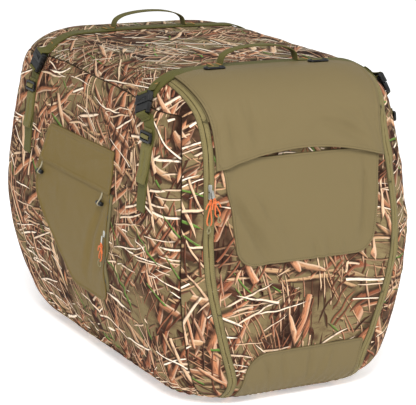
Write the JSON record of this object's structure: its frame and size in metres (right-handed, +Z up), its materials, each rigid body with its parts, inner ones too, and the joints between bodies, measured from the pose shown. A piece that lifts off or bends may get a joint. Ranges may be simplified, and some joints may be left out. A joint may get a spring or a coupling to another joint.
{
  "type": "dog kennel cover",
  "caption": "Insulated camouflage cover for a hard dog kennel, with a zip-up roll-back door, side window flaps, webbing straps and carry loops.",
  "frame": {"origin": "middle of the footprint at floor level", "axes": "+Z up, -Y towards the door, +X to the right of someone looking at the door"},
  "size_m": [0.5866, 0.8556, 0.658],
  "materials": {
    "camo_shell": "matte camouflage polyester over insulation",
    "olive_nylon": "matte coated nylon",
    "webbing": "woven polypropylene webbing",
    "black_plastic": "moulded acetal",
    "zip_tape": "woven zip tape with coil",
    "zip_metal": "painted die-cast zip slider",
    "orange_cord": "braided cord",
    "elastic": "covered elastic",
    "screen_mesh": "woven mesh"
  },
  "bodies": {
    "cover": {"door_lip": "olive_nylon", "front_left_buckle_socket": "black_plastic", "front_left_side_strap": "webbing", "front_right_buckle_socket": "black_plastic", "front_right_side_strap": "webbing", "front_roof_strap": "webbing", "hem_elastic": "elastic", "left_front_surround": "camo_shell", "left_side_panel": "camo_shell", "left_window_band": "olive_nylon", "left_window_screen": "screen_mesh", "left_zip_tape": "zip_tape", "rear_left_buckle_socket": "black_plastic", "rear_left_side_strap": "webbing", "rear_panel": "camo_shell", "rear_right_buckle_socket": "black_plastic", "rear_right_side_strap": "webbing", "rear_roof_strap": "webbing", "right_front_surround": "camo_shell", "right_side_panel": "camo_shell", "right_window_band": "olive_nylon", "right_window_screen": "screen_mesh", "right_zip_tape": "zip_tape", "roof_panel": "camo_shell"},
    "door_upper": {"door_upper_panel": "camo_shell", "door_weather_flap": "olive_nylon", "door_front_patch": "olive_nylon"},
    "door_middle": {"door_middle_panel": "camo_shell"},
    "door_lower": {"door_lower_panel": "camo_shell", "door_kick_patch": "olive_nylon"},
    "door_upper_slider": {"door_upper_zip_slider": "zip_metal"},
    "door_upper_pull": {"door_upper_zip_pull": "orange_cord"},
    "door_lower_slider": {"door_lower_zip_slider": "zip_metal"},
    "door_lower_pull": {"door_lower_zip_pull": "orange_cord"},
    "left_flap": {"left_window_flap": "olive_nylon"},
    "left_flap_slider": {"left_flap_zip_slider": "zip_metal"},
    "left_flap_pull": {"left_flap_zip_pull": "orange_cord"},
    "left_front_toggle_body": {"left_front_toggle": "black_plastic", "left_front_toggle_loop": "elastic"},
    "left_rear_toggle_body": {"left_rear_toggle": "black_plastic", "left_rear_toggle_loop": "elastic"},
    "left_clip": {"left_roof_clip": "black_plastic"},
    "right_flap": {"right_window_flap": "olive_nylon"},
    "right_flap_slider": {"right_flap_zip_slider": "zip_metal"},
    "right_flap_pull": {"right_flap_zip_pull": "orange_cord"},
    "right_front_toggle_body": {"right_front_toggle": "black_plastic", "right_front_toggle_loop": "elastic"},
    "right_rear_toggle_body": {"right_rear_toggle": "black_plastic", "right_rear_toggle_loop": "elastic"},
    "right_clip": {"right_roof_clip": "black_plastic"},
    "front_handle_loop": {"front_handle": "webbing"},
    "front_left_plug": {"front_left_buckle_plug": "black_plastic"},
    "front_left_adjuster": {"front_left_strap_adjuster": "black_plastic"},
    "front_right_plug": {"front_right_buckle_plug": "black_plastic"},
    "front_right_adjuster": {"front_right_strap_adjuster": "black_plastic"},
    "rear_handle_loop": {"rear_handle": "webbing"},
    "rear_left_plug": {"rear_left_buckle_plug": "black_plastic"},
    "rear_left_adjuster": {"rear_left_strap_adjuster": "black_plastic"},
    "rear_right_plug": {"rear_right_buckle_plug": "black_plastic"},
    "rear_right_adjuster": {"rear_right_strap_adjuster": "black_plastic"}
  },
  "joints": [
    {"name": "door_roll", "type": "hinge", "parent": "cover", "child": "door_upper", "pos_m": [0, -0.38261, 0.549], "axis": [-1, 0, 0], "range_deg": [0, 60]},
    {"name": "door_fold_middle", "type": "hinge", "parent": "door_upper", "child": "door_middle", "pos_m": [0, -0.43249, 0.272], "axis": [-1, 0, 0], "range_deg": [0, 120]},
    {"name": "door_fold_bottom", "type": "hinge", "parent": "door_middle", "child": "door_lower", "pos_m": [0, -0.42588, 0.118], "axis": [-1, 0, 0], "range_deg": [0, 120]},
    {"name": "door_upper_slider_travel", "type": "slide", "parent": "door_upper", "child": "door_upper_slider", "axis": [0.0697, 0.2092, 0.9754], "range_m": [0, 0.06]},
    {"name": "door_lower_slider_travel", "type": "slide", "parent": "door_upper", "child": "door_lower_slider", "axis": [-0.0697, -0.2092, -0.9754], "range_m": [0, 0.05]},
    {"name": "door_upper_pull_swing", "type": "hinge", "parent": "door_upper_slider", "child": "door_upper_pull", "pos_m": [-0.19854, -0.41499, 0.42925], "axis": [-1, 0, 0], "range_deg": [0, 50]},
    {"name": "door_lower_pull_swing", "type": "hinge", "parent": "door_lower_slider", "child": "door_lower_pull", "pos_m": [0, 0, 0], "axis": [-1, 0, 0], "range_deg": [0, 50]},
    {"name": "left_window_flap_swing", "type": "hinge", "parent": "cover", "child": "left_flap", "pos_m": [-0.28308, 0, 0.375], "axis": [0, 1, 0], "range_deg": [0, 120]},
    {"name": "left_flap_slider_travel", "type": "slide", "parent": "left_flap", "child": "left_flap_slider", "axis": [-0.0079, 0.1123, -0.9936], "range_m": [-0.03, 0.09]},
    {"name": "left_flap_pull_swing", "type": "hinge", "parent": "left_flap_slider", "child": "left_flap_pull", "pos_m": [-0.29099, -0.14999, 0.2856], "axis": [0, 1, 0], "range_deg": [0, 50]},
    {"name": "left_front_toggle_swing", "type": "hinge", "parent": "left_flap", "child": "left_front_toggle_body", "pos_m": [-0.28758, -0.1315, 0.369], "axis": [0, 1, 0], "range_deg": [0, 50]},
    {"name": "left_rear_toggle_swing", "type": "hinge", "parent": "left_flap", "child": "left_rear_toggle_body", "pos_m": [-0.28758, 0.1545, 0.369], "axis": [0, 1, 0], "range_deg": [0, 50]},
    {"name": "left_clip_flip", "type": "hinge", "parent": "cover", "child": "left_clip", "pos_m": [-0.115, -0.25438, 0.6232], "axis": [-1, 0, 0], "range_deg": [0, 140]},
    {"name": "right_window_flap_swing", "type": "hinge", "parent": "cover", "child": "right_flap", "pos_m": [0.28308, 0, 0.375], "axis": [0, -1, 0], "range_deg": [0, 120]},
    {"name": "right_flap_slider_travel", "type": "slide", "parent": "right_flap", "child": "right_flap_slider", "axis": [0.0079, 0.1123, -0.9936], "range_m": [-0.03, 0.09]},
    {"name": "right_flap_pull_swing", "type": "hinge", "parent": "right_flap_slider", "child": "right_flap_pull", "pos_m": [0.29099, -0.14999, 0.2856], "axis": [0, -1, 0], "range_deg": [0, 50]},
    {"name": "right_front_toggle_swing", "type": "hinge", "parent": "right_flap", "child": "right_front_toggle_body", "pos_m": [0.28758, -0.1315, 0.369], "axis": [0, -1, 0], "range_deg": [0, 50]},
    {"name": "right_rear_toggle_swing", "type": "hinge", "parent": "right_flap", "child": "right_rear_toggle_body", "pos_m": [0.28758, 0.1545, 0.369], "axis": [0, -1, 0], "range_deg": [0, 50]},
    {"name": "right_clip_flip", "type": "hinge", "parent": "cover", "child": "right_clip", "pos_m": [0.115, -0.25438, 0.6232], "axis": [-1, 0, 0], "range_deg": [0, 140]},
    {"name": "front_handle_tilt", "type": "hinge", "parent": "cover", "child": "front_handle_loop", "pos_m": [0, -0.2225, 0.634], "axis": [1, 0, 0], "range_deg": [-60, 60], "stiffness_Nm_per_rad": 0.05},
    {"name": "front_left_buckle_release", "type": "slide", "parent": "cover", "child": "front_left_plug", "axis": [-0.3335, -0.4067, -0.8505], "range_m": [0, 0.016]},
    {"name": "front_left_adjuster_travel", "type": "slide", "parent": "cover", "child": "front_left_adjuster", "axis": [-0.1242, 0, -0.9923], "range_m": [0, 0.05]},
    {"name": "front_right_buckle_release", "type": "slide", "parent": "cover", "child": "front_right_plug", "axis": [0.3335, -0.4067, -0.8505], "range_m": [0, 0.016]},
    {"name": "front_right_adjuster_travel", "type": "slide", "parent": "cover", "child": "front_right_adjuster", "axis": [0.1242, 0, -0.9923], "range_m": [0, 0.05]},
    {"name": "rear_handle_tilt", "type": "hinge", "parent": "cover", "child": "rear_handle_loop", "pos_m": [0, 0.2405, 0.634], "axis": [1, 0, 0], "range_deg": [-60, 60], "stiffness_Nm_per_rad": 0.05},
    {"name": "rear_left_buckle_release", "type": "slide", "parent": "cover", "child": "rear_left_plug", "axis": [-0.3526, 0.2588, -0.8993], "range_m": [0, 0.016]},
    {"name": "rear_left_adjuster_travel", "type": "slide", "parent": "cover", "child": "rear_left_adjuster", "axis": [-0.1242, 0, -0.9923], "range_m": [0, 0.05]},
    {"name": "rear_right_buckle_release", "type": "slide", "parent": "cover", "child": "rear_right_plug", "axis": [0.3526, 0.2588, -0.8993], "range_m": [0, 0.016]},
    {"name": "rear_right_adjuster_travel", "type": "slide", "parent": "cover", "child": "rear_right_adjuster", "axis": [0.1242, 0, -0.9923], "range_m": [0, 0.05]}
  ],
  "couplings": [
    {"joint": "door_fold_middle", "follows": "door_roll", "ratio": 2},
    {"joint": "door_fold_bottom", "follows": "door_roll", "ratio": 2}
  ]
}
